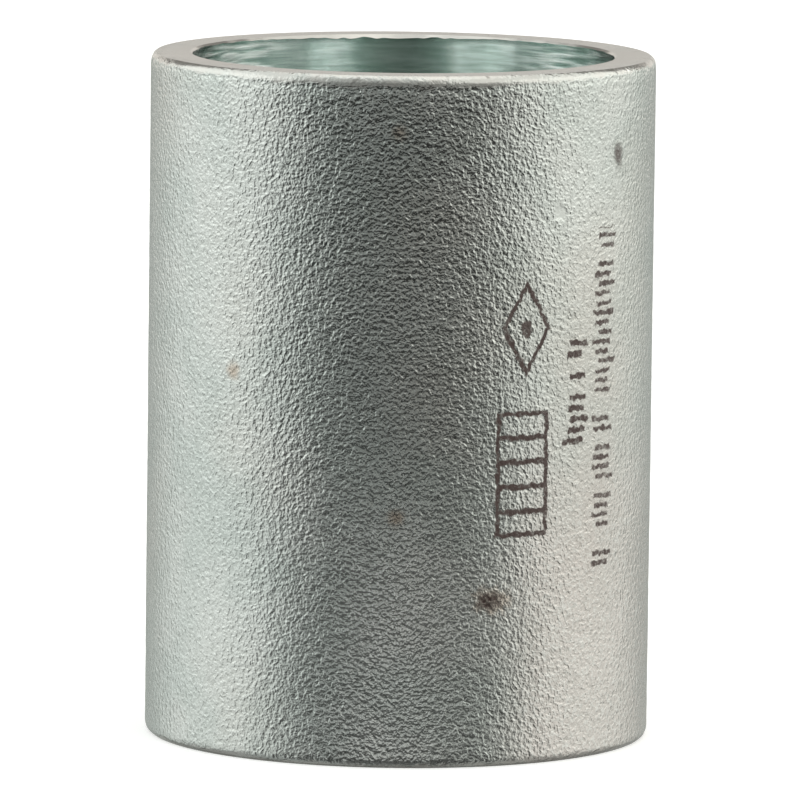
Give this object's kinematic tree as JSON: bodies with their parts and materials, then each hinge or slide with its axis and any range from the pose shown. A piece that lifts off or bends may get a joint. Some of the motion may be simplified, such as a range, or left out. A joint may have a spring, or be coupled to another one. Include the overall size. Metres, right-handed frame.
{
  "type": "recessed pipe drive coupling",
  "caption": "Plain round zinc-plated steel sleeve that joins threaded pipe end to end: smooth recessed mouths, then a right-hand taper pipe thread narrowing from each end to mid-length.",
  "frame": {"origin": "on the bore's axis at mid-length, which is the centre of the bounding box", "axes": "+Z along the bore towards the upper mouth; +X and +Y across it, and the sleeve is round, so nothing distinguishes them but the ink marks, which sit about the azimuth that faces -Y and +X"},
  "size_m": [0.0516, 0.0516, 0.0698],
  "materials": {
    "zinc_plated_steel": "bright zinc plate over a rough, dimpled outside, smooth turned ends and recesses with a faint green tint"
  },
  "bodies": {
    "root": {"coupling_sleeve": "zinc_plated_steel"}
  },
  "joints": []
}
